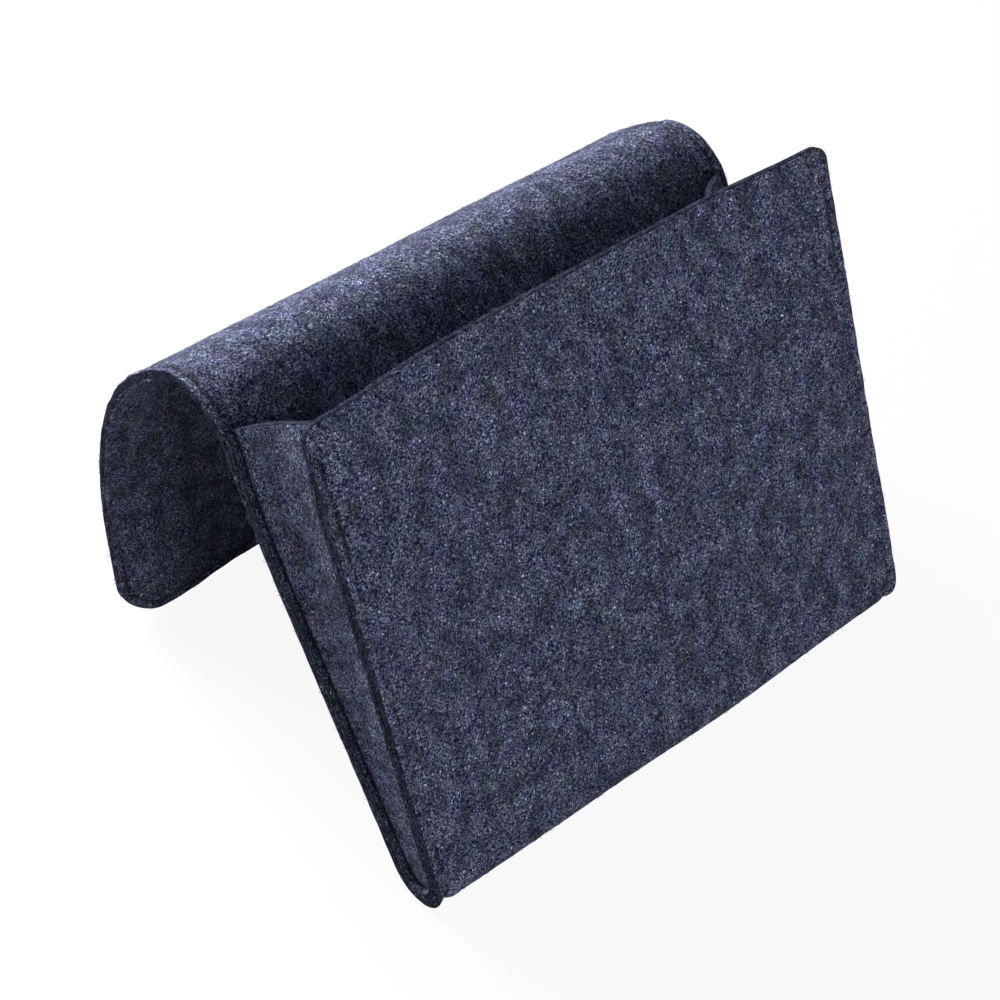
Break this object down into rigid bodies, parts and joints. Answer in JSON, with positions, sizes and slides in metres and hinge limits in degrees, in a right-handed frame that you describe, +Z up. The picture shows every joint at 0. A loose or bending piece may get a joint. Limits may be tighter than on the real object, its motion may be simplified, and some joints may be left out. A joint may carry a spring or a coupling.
{
  "type": "hanging remote caddy",
  "caption": "Felt caddy that hangs over a sofa's arm: a gusseted pocket on one side, an arch and a plain flap on the other.",
  "frame": {"origin": "middle of the footprint, on the floor the caddy stands on", "axes": "+X along the caddy's width, +Y from the pocket's front towards the flap, +Z up"},
  "size_m": [0.3102, 0.2698, 0.256],
  "materials": {
    "front_panel": "matt heathered felt",
    "front_hinge": "matt heathered felt",
    "bottom_fold": "matt heathered felt",
    "back_panel": "matt heathered felt",
    "near_bend": "matt heathered felt",
    "arch_top": "matt heathered felt",
    "far_bend": "matt heathered felt",
    "flap": "matt heathered felt",
    "left_gusset": "matt heathered felt",
    "right_gusset": "matt heathered felt"
  },
  "bodies": {
    "back": {"bottom_fold": "bottom_fold", "back_panel": "back_panel", "left_gusset": "left_gusset", "right_gusset": "right_gusset"},
    "front": {"front_panel": "front_panel", "front_hinge": "front_hinge"},
    "arch": {"near_bend": "near_bend", "arch_top": "arch_top"},
    "flap": {"far_bend": "far_bend", "flap": "flap"}
  },
  "joints": [
    {"name": "pocket_open", "type": "hinge", "parent": "back", "child": "front", "pos_m": [0, -0.13205, 0.02389], "axis": [1, 0, 0], "range_deg": [-8, 5], "stiffness_Nm_per_rad": 2, "deforming": ["front_hinge", "left_gusset", "right_gusset"]},
    {"name": "arch_bend", "type": "hinge", "parent": "back", "child": "arch", "pos_m": [0, 0.02373, 0.21953], "axis": [1, 0, 0], "range_deg": [-25, 60], "stiffness_Nm_per_rad": 2.5, "deforming": ["near_bend"]},
    {"name": "flap_swing", "type": "hinge", "parent": "arch", "child": "flap", "pos_m": [0, 0.10003, 0.17338], "axis": [1, 0, 0], "range_deg": [-20, 60], "stiffness_Nm_per_rad": 2, "deforming": ["far_bend"]}
  ]
}
